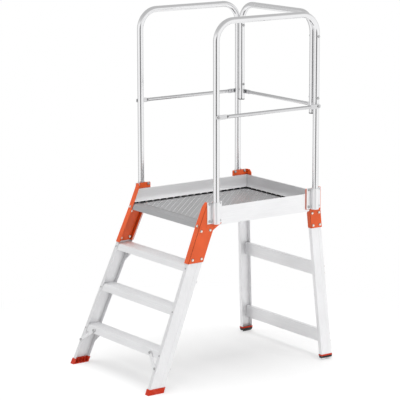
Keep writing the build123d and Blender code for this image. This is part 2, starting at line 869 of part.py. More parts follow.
for tread_name, tread_top in zip(("tread_lower", "tread_middle", "tread_upper"), tread_tops):
    nodes[tread_name] = tread(tread_top)
for bar_name, bar_low in zip(("crossbar_lower", "crossbar_upper"), bar_levels):
    nodes[bar_name] = crossbar(bar_low)
for rib_name, rib_index in zip(("deck_rib_front", "deck_rib_middle", "deck_rib_rear"), range(rib_count)):
    nodes[rib_name] = deck_rib(rib_index)
nodes["deck_plate"] = deck_plate()
nodes["deck_nosing"] = nosing()
nodes["toe_board_rear"] = rear_board()
nodes["edge_strip_rear"] = rear_strip()
nodes["rear_rail"] = rear_rail()
nodes["mid_rail_rear"] = rear_mid_rail()

front_bolts = [item for place in stringer_seats for item in bolt_ends(place, stringer_grip)]
front_bolts += bolt_ends(nosing_seat, nosing_grip)
rear_bolts = [item for place in leg_seats for item in bolt_ends(place, leg_grip)]
rear_bolts += [hexagon(place, bolt_head) for place in rear_wing_seats]
clamp_bolts = [item for place in high_clamp_seats for item in bolt_ends(place, clamp_grip)]
clamp_bolts += [hexagon(place, bolt_head) for place in low_clamp_seats]
guard_bolts = [hexagon(place, bolt_head) for place in guard_seats]
guard_bolts += [item for place in frame_seats for item in bolt_ends(place, frame_grip)]
nodes["rail_plugs"] = both_sides([rail_plug()])
nodes["front_bracket_bolts"] = both_sides(front_bolts)
nodes["rear_bracket_bolts"] = both_sides(rear_bolts)
nodes["tread_rivets"] = both_sides([rivet(place) for place in rivet_seats])
nodes["brace_bolts"] = both_sides([item for brace in braces for item in brace.bolts])
nodes["crossbar_bolts"] = both_sides([hexagon(place, bolt_head) for place in bar_seats])
nodes["clamp_bolts"] = both_sides(clamp_bolts)
nodes["guard_bolts"] = both_sides(guard_bolts)

os.makedirs("parts", exist_ok=True)
for node_name, shape in nodes.items():
    export_step(shape, f"parts/{node_name}.step")
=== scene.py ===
"""Looks of the aluminium step platform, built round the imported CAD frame.

Lengths are in metres. X runs across the steps, Y from the steps to the rear of the deck, Z up.
Pieces that the CAD draws in a simple form, such as the bent tubes and the bolts, are built again here
with their full form; every other CAD node keeps its mesh and gets a finish and softened edges.
"""

import logging
import math
from dataclasses import dataclass, replace
from enum import Enum
from typing import Sequence

import bmesh
import bpy
from bmesh.types import BMEdge, BMesh, BMFace, BMVert
from bpy.types import Material, Node, NodeSocket, Object, World
from mathutils import Matrix, Vector
from mathutils.bvhtree import BVHTree


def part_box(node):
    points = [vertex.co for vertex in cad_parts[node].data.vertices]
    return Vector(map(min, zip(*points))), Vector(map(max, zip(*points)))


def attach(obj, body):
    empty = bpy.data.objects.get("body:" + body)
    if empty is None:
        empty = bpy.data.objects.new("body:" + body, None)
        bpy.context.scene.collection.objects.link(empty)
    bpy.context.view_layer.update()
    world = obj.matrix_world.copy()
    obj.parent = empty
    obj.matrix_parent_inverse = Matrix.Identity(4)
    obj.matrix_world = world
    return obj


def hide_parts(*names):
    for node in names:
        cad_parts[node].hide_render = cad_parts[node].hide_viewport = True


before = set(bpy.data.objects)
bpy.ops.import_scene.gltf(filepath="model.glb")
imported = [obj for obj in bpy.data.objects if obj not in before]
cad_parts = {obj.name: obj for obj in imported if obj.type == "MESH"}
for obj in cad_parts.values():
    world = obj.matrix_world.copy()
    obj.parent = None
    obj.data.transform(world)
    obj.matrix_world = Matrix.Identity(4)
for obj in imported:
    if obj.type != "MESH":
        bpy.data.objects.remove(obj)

logging.basicConfig(level=logging.INFO, format="%(message)s")
log = logging.getLogger("step_platform")

Triple = tuple[float, float, float]
Span = tuple[float, float]

UP = Vector((0, 0, 1))
QUARTER = math.pi / 2
BODY = "root"
UV_MAP = "along"
WHITE = (1.0, 1.0, 1.0)

# Points nearer than this are one point, and faces that turn by less than this are one face.
WELD = 2e-5
FLAT = math.radians(1.0)

# Edges over the first angle are softened in a number of steps, and those over the second shaded as sharp.
SOFTENED = math.radians(28.0)
EDGE_STEPS = 2
SHARP = math.radians(35.0)

# Slope of the stringers.
STAIR_SLOPE = math.radians(66.8)

# Painted shade in corners: samples, the open share where it ends and begins, and its tone beside the finish.
CORNER_SHADE_SAMPLES = 8
CORNER_SHADE_SPAN = (0.3, 0.95)
CORNER_SHADE_TONE = 0.12

# Sockets of the mix node that belong to colours.
MIX_SHARE, MIX_FIRST, MIX_SECOND, MIX_RESULT = 0, 6, 7, 2

# Half of the angle between two corners of a hexagon.
HALF_SIXTH = math.pi / 6


class Grain(Enum):
    """Direction in which a finish is drawn: whose coordinates count, and which of them the streaks follow."""

    ALONG_X = ("frame", 0)
    ALONG_Y = ("frame", 1)
    ALONG_Z = ("frame", 2)
    ALONG_STAIR = ("stair", 2)
    ALONG_PIECE = ("piece", 1)


class Side(Enum):
    """Side of the object as a person who climbs it sees it."""

    LEFT = "left"
    RIGHT = "right"


class Link:
    """A shader value: an output socket that can be used in Python expressions."""

    def __init__(self, graph: "Graph", socket: NodeSocket) -> None:
        """Keep the graph that owns the socket, so that operators can add nodes to it."""
        self.graph = graph
        self.socket = socket

    def __add__(self, other: "Operand") -> "Link":
        """Sum with a number or another value."""
        return self.graph.math("ADD", self, other)

    def __sub__(self, other: "Operand") -> "Link":
        """Difference to a number or another value."""
        return self.graph.math("SUBTRACT", self, other)

    def __rsub__(self, other: "Operand") -> "Link":
        """Difference from a number on the left."""
        return self.graph.math("SUBTRACT", other, self)

    def __mul__(self, other: "Operand") -> "Link":
        """Product with a number or another value."""
        return self.graph.math("MULTIPLY", self, other)

    __radd__ = __add__
    __rmul__ = __mul__

    def ramp(self, low: float, high: float) -> "Link":
        """Smooth step from 0 at low to 1 at high."""
        inputs = {0: self, 1: low, 2: high}
        return self.graph.value("ShaderNodeMapRange", inputs, interpolation_type="SMOOTHSTEP")


Operand = Link | float


class Graph:
    """Node tree of one material or world, filled by Python expressions."""

    def __init__(self, owner: Material | World) -> None:
        """Start with an empty tree.

        Args:
            owner: the material or world.
        """
        owner.use_nodes = True
        self.tree = owner.node_tree
        self.tree.nodes.clear()

    def node(self, kind: str, inputs: dict | None = None, **settings: object) -> Node:
        """Add one node.

        Args:
            kind: Blender's name of the node type.
            inputs: socket names or numbers with a link or a constant each.
            settings: properties, set before the sockets.

        Returns:
            The new node.
        """
        node = self.tree.nodes.new(kind)
        for name, setting in settings.items():
            setattr(node, name, setting)
        for key, source in (inputs or {}).items():
            socket = node.inputs[key]
            if isinstance(source, Link):
                self.tree.links.new(source.socket, socket)
            else:
                socket.default_value = (*source, 1.0) if socket.type == "RGBA" else source
        return node

    def value(
        self, kind: str, inputs: dict | None = None, output: int | str = 0, **settings: object
    ) -> Link:
        """Add one node and hand out one of its outputs as a value."""
        return Link(self, self.node(kind, inputs, **settings).outputs[output])

    def math(self, operation: str, first: Operand, second: Operand) -> Link:
        """Arithmetic on two values."""
        return self.value("ShaderNodeMath", {0: first, 1: second}, operation=operation)

    def blend(self, share: Operand, first: Link | Triple, second: Link | Triple) -> Link:
        """Colour between two colours: the first at a share of 0, the second at 1."""
        inputs = {MIX_SHARE: share, MIX_FIRST: first, MIX_SECOND: second}
        return self.value("ShaderNodeMix", inputs, MIX_RESULT, data_type="RGBA")

    def place(self) -> Link:
        """Coordinates of the object, which are those of the frame."""
        return self.value("ShaderNodeTexCoord", output="Object")

    def away(self) -> Link:
        """Distance from the object's origin."""
        return self.value("ShaderNodeVectorMath", {0: self.place()}, "Value", operation="LENGTH")

    def noise(self, place: Link, scale: float, detail: float = 3.0, roughness: float = 0.5) -> Link:
        """Noise between 0 and 1, with repeats in a metre, octaves and the share of the finer ones."""
        inputs = {"Vector": place, "Scale": scale, "Detail": detail, "Roughness": roughness}
        return self.value("ShaderNodeTexNoise", inputs)

    def corner(self, reach: float) -> Link:
        """Share of painted shade: 0 on an open surface, up to 1 with other surfaces within reach all round.
        """
        ao = self.value("ShaderNodeAmbientOcclusion", {"Distance": reach}, "AO", samples=CORNER_SHADE_SAMPLES)
        return 1.0 - ao.ramp(*CORNER_SHADE_SPAN)

    def bump(self, height: Link, strength: float, distance: float) -> Link:
        """Normal of a surface raised by a height between 0 and 1."""
        return self.value("ShaderNodeBump", {"Height": height, "Strength": strength, "Distance": distance})

    def matt(self, colour: Link | Triple) -> Link:
        """Matt surface of a colour."""
        return self.value("ShaderNodeBsdfDiffuse", {"Color": colour})

    def glow(self, level: float, kind: str = "ShaderNodeEmission") -> Link:
        """White light of a level."""
        return self.value(kind, {"Color": WHITE, "Strength": level})

    def mix_light(self, share: Link, first: Link, second: Link) -> Link:
        """Light between two lights."""
        return self.value("ShaderNodeMixShader", {0: share, 1: first, 2: second})

    def seen(self) -> Link:
        """Tell rays of the camera, of metal and of glass from all others.

        Returns:
            A share that is 1 for them.
        """
        kinds = ("Is Camera Ray", "Is Glossy Ray", "Is Transmission Ray")
        camera, metal, glass = (self.value("ShaderNodeLightPath", output=kind) for kind in kinds)
        return self.math("MAXIMUM", self.math("MAXIMUM", camera, metal), glass)

    def show(self, shader: Link, output: str = "ShaderNodeOutputMaterial") -> None:
        """Put a shader on the surface of the material, or of the world by its own output node."""
        self.node(output, {"Surface": shader})


@dataclass(frozen=True)
class Finish:
    """Surface of a piece; each kind says how its shader is built."""

    name: str
    slot: str
    colour: Triple
    roughness: float

    def darker(self, share: float) -> Triple:
        """A share of the finish's colour."""
        return tuple(part * share for part in self.colour)

    def corner_shaded(self, graph: Graph, colour: Link, share: float = 0.5, reach: float = 0.010) -> Link:
        """Colour with painted shade, darker by a share in corners and seams, where other surfaces are within
        reach.
        """
        return graph.blend(share * graph.corner(reach), colour, self.darker(CORNER_SHADE_TONE))

    def shade(self, graph: Graph) -> dict[str, object]:
        """Values for the sockets of the shader; the kinds of finish give them."""
        raise NotImplementedError

    def material(self) -> Material:
        """Look up the finish as a material.

        Returns:
            The material, which is built on first use.
        """
        made = bpy.data.materials.get(self.name)
        if not made:
            made = bpy.data.materials.new(self.name)
            graph = Graph(made)
            graph.show(graph.value("ShaderNodeBsdfPrincipled", self.shade(graph)))
        return made


@dataclass(frozen=True)
class Aluminium(Finish):
    """Drawn or rolled aluminium with fine streaks along the grain and soft cloudiness."""

    grain: Grain = Grain.ALONG_Z
    metallic: float = 0.75
    contrast: float = 0.1
    streak_scale: float = 420.0
    streak_roughness: float = 0.6
    streak_share: float = 0.6
    cloud_scale: float = 5.0
    tone_span: Span = (0.25, 0.75)
    roughness_gain: float = 0.3
    stretch: float = 0.02
    relief: float = 0.25
    depth: float = 0.0002
    # Painted shade: its share in corners and seams, and how near other surfaces must be.
    corner_shade: float = 0.2
    reach: float = 0.010

    def grain_place(self, graph: Graph) -> Link:
        """Squeeze coordinates along the grain, so that noise becomes streaks.

        Args:
            graph: the material's graph.

        Returns:
            The squeezed coordinates.
        """
        system, axis = self.grain.value
        scale = [1.0, 1.0, 1.0]
        scale[axis] = self.stretch
        place = graph.value("ShaderNodeUVMap", uv_map=UV_MAP) if system == "piece" else graph.place()
        inputs = {"Vector": place, "Scale": scale}
        if system == "stair":
            inputs["Rotation"] = (QUARTER - STAIR_SLOPE, 0.0, 0.0)
        return graph.value("ShaderNodeMapping", inputs)

    def shade(self, graph: Graph) -> dict[str, object]:
        """Streaks in colour, roughness and height, and painted shade in corners.

        Args:
            graph: the material's graph.

        Returns:
            Values for the sockets of the shader.
        """
        streak = graph.noise(self.grain_place(graph), self.streak_scale, roughness=self.streak_roughness)
        cloud = graph.noise(graph.place(), self.cloud_scale)
        tone = (streak * self.streak_share + cloud * (1.0 - self.streak_share)).ramp(*self.tone_span)
        colour = graph.blend(tone, self.darker(1.0 - self.contrast), self.colour)
        return {
            "Base Color": self.corner_shaded(graph, colour, self.corner_shade, self.reach),
            "Metallic": self.metallic,
            "Roughness": self.roughness * (1.0 + self.roughness_gain * (1.0 - tone)),
            "Normal": graph.bump(streak, self.relief, self.depth),
        }


@dataclass(frozen=True)
class PowderCoat(Finish):
    """Satin paint with a fine orange-peel surface and a little unevenness of colour."""

    peel_scale: float = 650.0
    peel_roughness: float = 0.1
    cloud_scale: float = 9.0
    tone_span: Span = (0.3, 0.7)
    deep_share: float = 0.88
    gloss: float = 0.45
    coat: float = 0.05
    coat_gain: float = 0.1
    coat_roughness: float = 0.25
    relief: float = 0.2
    depth: float = 0.0002
    # Share of painted shade in corners and seams.
    corner_shade: float = 0.95

    def shade(self, graph: Graph) -> dict[str, object]:
        """Orange peel in height, soft clouds in colour and gloss, and painted shade in corners.

        Args:
            graph: the material's graph.

        Returns:
            Values for the sockets of the shader.
        """
        tone = graph.noise(graph.place(), self.cloud_scale).ramp(*self.tone_span)
        peel = graph.noise(graph.place(), self.peel_scale, detail=1.0)
        colour = graph.blend(tone, self.darker(self.deep_share), self.colour)
        return {
            "Base Color": self.corner_shaded(graph, colour, self.corner_shade),
            "Roughness": self.roughness + self.peel_roughness * peel,
            "Specular IOR Level": self.gloss,
            "Coat Weight": self.coat + self.coat_gain * tone,
            "Coat Roughness": self.coat_roughness,
            "Normal": graph.bump(peel, self.relief, self.depth),
        }


@dataclass(frozen=True)
class Moulded(Finish):
    """Moulded plastic or rubber with a fine matt grain and paler rubbed patches."""

    grain_scale: float = 900.0
    patch_scale: float = 30.0
    patch_span: Span = (0.45, 0.7)
    rub: float = 0.025
    gloss: float = 0.5
    relief: float = 0.3
    depth: float = 0.0003
    # Share of painted shade in corners and seams.
    corner_shade: float = 0.5

    def shade(self, graph: Graph) -> dict[str, object]:
        """Grain in height, rubbed patches in colour and gloss, and painted shade in corners.

        Args:
            graph: the material's graph.

        Returns:
            Values for the sockets of the shader.
        """
        grain = graph.noise(graph.place(), self.grain_scale, detail=2.0)
        patch = graph.noise(graph.place(), self.patch_scale).ramp(*self.patch_span)
        paler = tuple(part + (1.0 - part) * self.rub for part in self.colour)
        return {
            "Base Color": self.corner_shaded(graph, graph.blend(patch, self.colour, paler), self.corner_shade),
            "Roughness": self.roughness - self.rub * patch,
            "Specular IOR Level": self.gloss,
            "Normal": graph.bump(grain, self.relief, self.depth),
        }


@dataclass(frozen=True)
class Zinc(Finish):
    """Zinc-plated steel with a faint crystal pattern."""

    crystal_scale: float = 260.0
    crystal_share: float = 0.85
    crystal_roughness: float = 0.1
    metallic: float = 1.0

    def shade(self, graph: Graph) -> dict[str, object]:
        """Crystals in colour and gloss, and painted shade in corners.

        Args:
            graph: the material's graph.

        Returns:
            Values for the sockets of the shader.
        """
        inputs = {"Vector": graph.place(), "Scale": self.crystal_scale}
        cell = graph.value("ShaderNodeTexVoronoi", inputs, "Color")
        tone = graph.value("ShaderNodeSeparateColor", {0: cell})
        colour = graph.blend(tone, self.darker(self.crystal_share), self.colour)
        return {
            "Base Color": self.corner_shaded(graph, colour),
            "Metallic": self.metallic,
            "Roughness": self.roughness + self.crystal_roughness * tone,
        }


def grey(level: float, blue: float = 0.01) -> Triple:
    """Grey with a trace more blue, as aluminium has it."""
    return (level, level, level + blue)


class Palette:
    """All finishes of the object."""

    stair = Aluminium("stair_extrusion", "extruded_aluminium", grey(0.90), 0.36, Grain.ALONG_STAIR, 0.6)
    leg = Aluminium("leg_extrusion", "extruded_aluminium", grey(0.93), 0.36, Grain.ALONG_Z, 0.5, corner_shade=0.0)
    bar = Aluminium("bar_extrusion", "extruded_aluminium", grey(0.94), 0.36, Grain.ALONG_X, 0.4)
    tread = Aluminium("tread_sheet", "tread_aluminium", grey(0.95), 0.4, Grain.ALONG_X, 0.5)
    nosing = Aluminium("nosing_sheet", "tread_aluminium", grey(0.53), 0.45, Grain.ALONG_X)
    # One metal in two tones: the plate's dark grey is painted shade and the bars' pale grey a painted
    # highlight, for the light that the raised bars catch.
    deck = Aluminium("shaded_chequer_plate", "deck_aluminium", grey(0.42, 0.005), 0.27, Grain.ALONG_Y, 1.0)
    bars = Aluminium("lit_chequer_bars", "deck_aluminium", grey(0.90), 0.2, Grain.ALONG_Y, 1.0)
    board = Aluminium("side_board", "board_aluminium", grey(0.97), 0.36, Grain.ALONG_Y, 0.5)
    # Darker copy of the side board's finish for the rear board: painted shade, as its inner face lies in the
    # shade of the deck and the side boards.
    shaded_rear_board = Aluminium("shaded_rear_board", "board_aluminium", grey(0.80), 0.36, Grain.ALONG_X)
    tube = Aluminium(
        "drawn_tube", "tube_aluminium", grey(0.90), 0.13, Grain.ALONG_PIECE, 1.0, 0.06, relief=0.02
    )
    rail = Aluminium(
        "pressed_rail", "tube_aluminium", grey(0.74), 0.16, Grain.ALONG_PIECE, 1.0, 0.08, relief=0.02
    )
    # Painted shade darkens the clamp's narrow corners, such as the line between plate and barrel.
    clamp = Aluminium(
        "clamp_extrusion", "extruded_aluminium", grey(0.94), 0.3, Grain.ALONG_Z, 0.7, 0.06,
        relief=0.02, corner_shade=0.5, reach=0.004,
    )
    paint = PowderCoat("powder_coat", "orange_paint", (0.85, 0.108, 0.013), 0.36)
    shoe = Moulded("moulded_orange", "orange_plastic", (0.62, 0.036, 0.009), 0.5, gloss=0.2, corner_shade=0.12)
    rubber = Moulded("moulded_rubber", "black_rubber", grey(0.018, 0.0), 0.7)
    plastic = Moulded("moulded_black", "black_plastic", grey(0.022, 0.001), 0.5)
    strip = Moulded("moulded_strip", "black_plastic", grey(0.008, 0.0), 0.85, rub=0.0, gloss=0.1)
    # Rougher, less metallic zinc for the small heads; its darker colour is painted shade for heads that show
    # dark.
    dull_shaded_zinc = Zinc("dull_shaded_zinc_plate", "zinc_steel", grey(0.56, 0.005), 0.35, metallic=0.6)
    zinc = Zinc("zinc_plate", "zinc_steel", (0.97, 0.93, 0.85), 0.16)


def dress_node(name: str, finish: Finish, edge: float) -> None:
    """Give a CAD node its finish and, by modifiers, softened edges.

    Args:
        name: the CAD node.
        finish: its surface.
        edge: width of the softened edges.
    """
    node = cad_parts[name]
    node.data.materials.clear()
    node.data.materials.append(finish.material())
    weld = node.modifiers.new("weld", "WELD")
    weld.merge_threshold = WELD
    merge = node.modifiers.new("merge", "DECIMATE")
    merge.decimate_type = "DISSOLVE"
    merge.angle_limit = FLAT
    soften(node, edge)
    log.info("%s: CAD node with finish %s", name, finish.name)


def soften(piece: Object, edge: float) -> None:
    """Round the edges of a piece by modifiers.

    Args:
        piece: the object.
        edge: width of the rounding.
    """
    bevel = piece.modifiers.new("soften", "BEVEL")
    bevel.width = edge
    bevel.segments = EDGE_STEPS
    bevel.limit_method = "ANGLE"
    bevel.angle_limit = SOFTENED
    piece.modifiers.new("shade", "WEIGHTED_NORMAL")


def cad_mesh(node: str) -> BMesh:
    """Copy of a CAD node's mesh, with its facets joined to flat faces.

    Args:
        node: the CAD node.

    Returns:
        The copy, to be changed and freed by the caller.
    """
    mesh = bmesh.new()
    mesh.from_mesh(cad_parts[node].data)
    bmesh.ops.remove_doubles(mesh, verts=mesh.verts, dist=WELD)
    bmesh.ops.dissolve_limit(mesh, angle_limit=FLAT, verts=mesh.verts, edges=mesh.edges)
    return mesh


def add_piece(name: str, mesh: BMesh, finish: Finish, node: str = "", edge: float = 0.0) -> None:
    """Turn a bmesh into a piece of the object that rides on its body.

    Args:
        name: name of the piece.
        mesh: its form in the frame; it is freed here.
        finish: its surface.
        node: CAD node that it is shown instead of, if there is one.
        edge: width of the softened edges; 0 leaves them as they are.
    """
    bmesh.ops.recalc_face_normals(mesh, faces=mesh.faces)
    for face in mesh.faces:
        face.smooth = True
    for line in mesh.edges:
        line.smooth = line.calc_face_angle(math.pi) < SHARP
    piece = add_object(name, mesh, finish.material())
    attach(piece, BODY)
    if node:
        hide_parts(node)
    if edge:
        soften(piece, edge)
    log.info("%s: built with finish %s, %d faces", name, finish.name, len(piece.data.polygons))


def add_object(name: str, mesh: BMesh, material: Material) -> Object:
    """Turn a bmesh into an object of the scene.

    Args:
        name: name of the object.
        mesh: its form; it is freed here.
        material: its surface.

    Returns:
        The new object.
    """
    data = bpy.data.meshes.new(name)
    mesh.to_mesh(data)
    mesh.free()
    data.materials.append(material)
    made = bpy.data.objects.new(name, data)
    bpy.context.scene.collection.objects.link(made)
    return made


def join_rings(mesh: BMesh, rings: Sequence[Sequence[Vector]]) -> list[list[BMFace]]:
    """Join closed rings of points into a skin with flat ends.

    Args:
        mesh: where the skin goes.
        rings: rings with the same number of points each.

    Returns:
        The faces from each ring to the next, in the order of the ring's points.
    """
    loops = [[mesh.verts.new(point) for point in points] for points in rings]
    rows = []
    for low, high in zip(loops, loops[1:]):
        corners = zip(low, low[1:] + low[:1], high[1:] + high[:1], high)
        rows.append([mesh.faces.new(four) for four in corners])
    mesh.faces.new(list(reversed(loops[0])))
    mesh.faces.new(loops[-1])
    return rows


def add_skin(node: str, form: str, rings: Sequence[tuple[float, list[Vector]]], finish: Finish) -> None:
    """Build a piece as a skin over rings, with a UV map along it, instead of its CAD node.

    Args:
        node: the CAD node.
        form: word that ends the name of the piece.
        rings: distance along the piece and points of each ring.
        finish: its surface.
    """
    mesh = bmesh.new()
    layer = mesh.loops.layers.uv.new(UV_MAP)
    along, loops = zip(*rings)
    count = len(loops[0])
    girth = sum((loops[0][index] - loops[0][index - 1]).length for index in range(count))
    for row, faces in enumerate(join_rings(mesh, loops)):
        for index, face in enumerate(faces):
            corners = ((index, row), (index + 1, row), (index + 1, row + 1), (index, row + 1))
            for loop, (step, place) in zip(face.loops, corners):
                loop[layer].uv = (girth * step / count, along[place])
    add_piece(f"{node}_{form}", mesh, finish, node)


def ring(
    centre: Vector, side: Vector, up: Vector, radii: Sequence[float], turn: float = 0.0, power: float = 1.0
) -> list[Vector]:
    """Set points round a centre, in the plane of two vectors.

    Args:
        centre: the centre.
        side: vector to the first point, where there is no turn.
        up: vector a quarter further round.
        radii: distance of each point, in lengths of the vectors.
        turn: angle of the first point.
        power: 1 for a round form, less for one nearer to a rectangle.

    Returns:
        The points.
    """
    points = []
    for index, radius in enumerate(radii):
        angle = turn + 2 * math.pi * index / len(radii)
        parts = (math.cos(angle), math.sin(angle))
        out, rise = (radius * math.copysign(abs(part) ** power, part) for part in parts)
        points.append(centre + side * out + up * rise)
    return points


def quarter(steps: int) -> list[Span]:
    """Cosine and sine at even steps over a quarter turn, with both ends."""
    angles = [QUARTER * step / steps for step in range(steps + 1)]
    return [(math.cos(angle), math.sin(angle)) for angle in angles]


def long_axis(low: Vector, high: Vector) -> Vector:
    """Unit vector along the longer level side of a box."""
    return Vector((1, 0, 0)) if high.x - low.x > high.y - low.y else Vector((0, 1, 0))


def through_border(low: Vector, high: Vector) -> tuple[Vector, Vector]:
    """Tell which way a piece on the deck's border faces.

    Args:
        low: lowest corner of its box.
        high: highest corner of its box.

    Returns:
        A lower corner on its outer side, and the vector from there through it towards the deck.
    """
    if long_axis(low, high).x:
        through = Vector((0, low.y - high.y, 0))
    elif low.x < 0:
        return low, Vector((high.x - low.x, 0, 0))
    else:
        through = Vector((low.x - high.x, 0, 0))
    return low - through, through


@dataclass
class TubeFrame:
    """A tube bent twice: two legs joined by a straight rail at the top."""

    node: str
    radius: float = 0.0175
    wall: float = 0.002
    bend: float = 0.110
    bend_steps: int = 18
    sides: int = 40
    open_depth: float = 0.06

    def centre_line(self) -> list[Vector]:
        """Work out the tube's axis from the box of the CAD node.

        Returns:
            Points along it.
        """
        low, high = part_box(self.node)
        across = long_axis(low, high)
        middle = (low + high) / 2
        reach = (high - low).dot(across) / 2 - self.radius
        top = high.z - self.radius
        half = [(reach, low.z)]
        for cos, sin in quarter(self.bend_steps):
            half.append((reach - self.bend * (1 - cos), top - self.bend * (1 - sin)))
        path = [(-offset, height) for offset, height in half] + half[::-1]
        return [Vector((middle.x, middle.y, height)) + across * offset for offset, height in path]

    def build(self) -> None:
        """The tube with open, hollow lower ends, instead of its CAD node."""
        line = self.centre_line()
        first, last = line[0], line[-1]
        side = (last - first).normalized().cross(UP)
        bore = self.radius - self.wall
        lift = UP * self.open_depth
        stations = [(first + lift, UP, bore, 0.0), (first, UP, bore, self.open_depth)]
        travelled = 0.0
        for before, point, after in zip([first] + line, line, line[1:] + [last]):
            travelled += (point - before).length
            stations.append((point, (after - before).normalized(), self.radius, travelled))
        stations += [(last, -UP, bore, travelled), (last + lift, -UP, bore, travelled + self.open_depth)]
        rings = []
        for point, tangent, radius, along in stations:
            rings.append((along, ring(point, side, side.cross(tangent), [radius] * self.sides)))
        add_skin(self.node, "tube", rings, Palette.tube)


@dataclass
class MidRail:
    """Round rail with ends pressed flat; the tip gives shares of their height at distances from the end."""

    node: str
    radius: float = 0.010
    flat: float = 0.0025
    flat_height: float = 0.0125
    flat_length: float = 0.062
    flat_power: float = 0.4
    tip: tuple[Span, ...] = ((0.0, 0.6), (0.005, 0.88), (0.012, 1.0))
    taper: float = 0.016
    taper_steps: int = 14
    sides: int = 32

    def build(self) -> None:
        """The rail with its pressed ends, instead of its CAD node."""
        low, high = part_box(self.node)
        across = long_axis(low, high)
        centre = (low + high) / 2
        outward = across.cross(UP)
        turn, radii = math.pi / self.sides, [1.0] * self.sides
        rings = []
        for place, thick, tall, power in self.stations((high - low).dot(across) / 2):
            points = ring(centre + across * place, outward * thick, UP * tall, radii, turn, power)
            rings.append((place, points))
        add_skin(self.node, "tube", rings, Palette.rail)

    def stations(self, half: float) -> list[tuple[float, float, float, float]]:
        """Place, half thickness, half height and roundness of the sections from end to end.

        Args:
            half: half of the rail's length.

        Returns:
            Sections of one end and, mirrored, of the other.
        """
        ends = []
        for place, share in self.tip:
            ends.append((-half + place, self.flat, self.flat_height * share, self.flat_power))
        for step in range(self.taper_steps + 1):
            share = step / self.taper_steps
            # The tube opens slowly near the flat end and runs smoothly into the round.
            opened = share**4 * (5 - 4 * share)
            thick = self.flat + (self.radius - self.flat) * opened
            tall = self.flat_height + (self.radius - self.flat_height) * share
            power = self.flat_power + (1.0 - self.flat_power) * opened
            ends.append((-half + self.flat_length + self.taper * share, thick, tall, power))
        return ends + [(-place, *form) for place, *form in reversed(ends)]


@dataclass
class GuardRail:
    """Two side frames, the rear frame, three mid rails and the post clamps."""

    edge: float = 0.0006

    def build(self) -> None:
        """Build the tubes and dress the clamps and plugs."""
        for node in ("side_rail_left", "side_rail_right", "rear_rail"):
            TubeFrame(node).build()
        for node in ("mid_rail_left", "mid_rail_right", "mid_rail_rear"):
            MidRail(node).build()
        for side in Side:
            dress_node("clamp_front_" + side.value, Palette.clamp, self.edge)
            dress_node("clamp_rear_" + side.value, Palette.clamp, self.edge)
        dress_node("rail_plugs", Palette.plastic, self.edge)


@dataclass
class EdgeStrip:
    """Black strip along the foot of a toe board, with a round free edge and a notch at even steps."""

    node: str
    step: float = 0.047
    notch: float = 0.016
    slope: float = 0.0015
    notch_share: float = 0.06
    height: float = 0.0068
    round_share: float = 0.6
    round_steps: int = 5

    def build(self) -> None:
        """The strip with its notches, instead of its CAD node."""
        low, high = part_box(self.node)
        along = long_axis(low, high)
        wall, through = through_border(low, high)
        section = [(0.0, 0.0), (1.0, 0.0)]
        for cos, sin in quarter(self.round_steps):
            section.append((1.0 - self.round_share * (1.0 - cos), 1.0 - self.round_share * (1.0 - sin)))
        section.append((0.0, 1.0))
        rings = []
        for place, share in self.stations((high - low).dot(along)):
            foot, rise = wall + along * place, UP * (self.height * share)
            rings.append((place, [foot + through * u + rise * v for u, v in section]))
        add_skin(self.node, "ribbed", rings, Palette.strip)

    def stations(self, length: float) -> list[Span]:
        """Places along the strip with the share of the full height there.

        Args:
            length: length of the strip.

        Returns:
            Pairs of place and share from end to end.
        """
        half, low = self.notch / 2, self.notch_share
        sides = ((-half - self.slope, 1.0), (-half, low), (half, low), (half + self.slope, 1.0))
        count = round(length / self.step)
        pairs = [(0.0, 1.0)]
        for index in range(1, count):
            pairs += [(length * index / count + offset, share) for offset, share in sides]
        return pairs + [(length, 1.0)]


@dataclass
class ToeBoard:
    """Toe board whose inner face runs out into a cove above the edge strip."""

    node: str
    finish: Finish
    edge: float = 0.0006
    foot: float = 0.0278
    cove_height: float = 0.040
    cove_depth: float = 0.0056
    cove_power: int = 3
    cove_steps: int = 8
    ledge: float = 0.0006

    def build(self) -> None:
        """The board with its cove, instead of its CAD node."""
        mesh = cad_mesh(self.node)
        low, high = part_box(self.node)
        start = low.z + self.foot
        levels = [start - self.ledge]
        levels += [start + self.cove_height * step / self.cove_steps for step in range(self.cove_steps + 1)]
        for level in levels:
            everything = mesh.verts[:] + mesh.edges[:] + mesh.faces[:]
            bmesh.ops.bisect_plane(mesh, geom=everything, plane_co=UP * level, plane_no=UP)
        wall, through = through_border(low, high)
        inwards = through.normalized()
        for vertex in mesh.verts:
            share = 1 - (vertex.co.z - start) / self.cove_height
            on_face = abs((vertex.co - wall - through).dot(inwards)) < WELD
            if on_face and 0 < share < 1 + self.ledge / 2 / self.cove_height:
                vertex.co += inwards * (self.cove_depth * share**self.cove_power)
        add_piece(self.node + "_coved", mesh, self.finish, self.node, self.edge)


